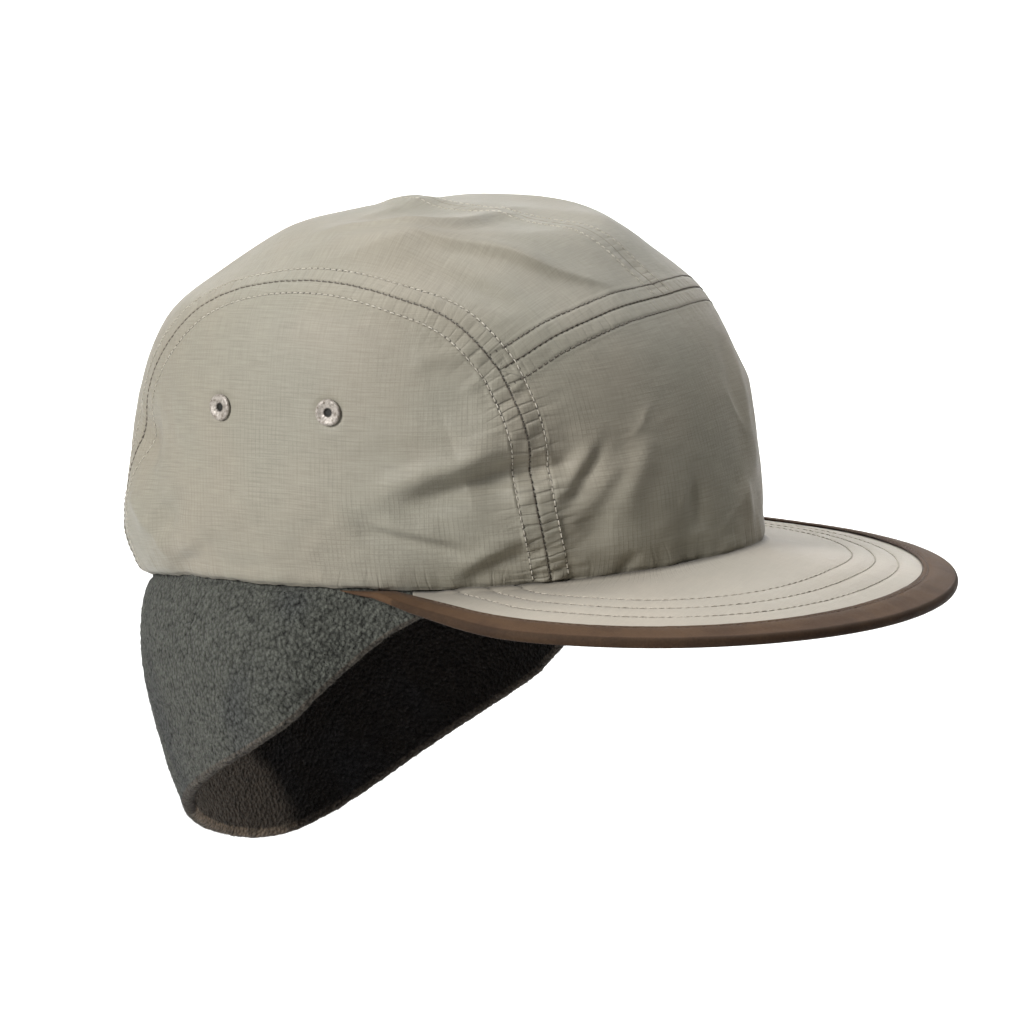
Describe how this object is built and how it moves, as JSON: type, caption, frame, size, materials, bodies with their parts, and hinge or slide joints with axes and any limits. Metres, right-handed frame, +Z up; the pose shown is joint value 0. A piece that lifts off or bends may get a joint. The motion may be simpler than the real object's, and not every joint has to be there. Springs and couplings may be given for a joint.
{
  "type": "five-panel cap with duckbill visor and fleece ear flap",
  "caption": "Five-panel ripstop cap with a flat bound duckbill visor, side eyelets and a fleece ear and neck flap folded down below the rim.",
  "frame": {"origin": "centre of the head opening, level with the rim at the sides of the head; the cap is held up as a head holds it", "axes": "+Z up out of the crown, -Y forwards along the visor, -X towards the wearer's right"},
  "size_m": [0.1926, 0.2654, 0.2186],
  "materials": {
    "ripstop": "matte ripstop nylon",
    "visor_cloth": "matte ripstop nylon over a stiff board",
    "binding_tape": "smooth woven tape",
    "fleece": "brushed fleece",
    "eyelet_enamel": "satin enamel",
    "thread_light": "polyester thread",
    "thread_dark": "polyester thread"
  },
  "bodies": {
    "root": {"front_panel": "ripstop", "side_panel_right": "ripstop", "side_panel_left": "ripstop", "top_panel_right": "ripstop", "top_panel_left": "ripstop", "brim": "visor_cloth", "brim_binding": "binding_tape", "ear_flap": "fleece", "eyelet_right_front": "eyelet_enamel", "eyelet_right_rear": "eyelet_enamel", "eyelet_left_front": "eyelet_enamel", "eyelet_left_rear": "eyelet_enamel"}
  },
  "joints": []
}
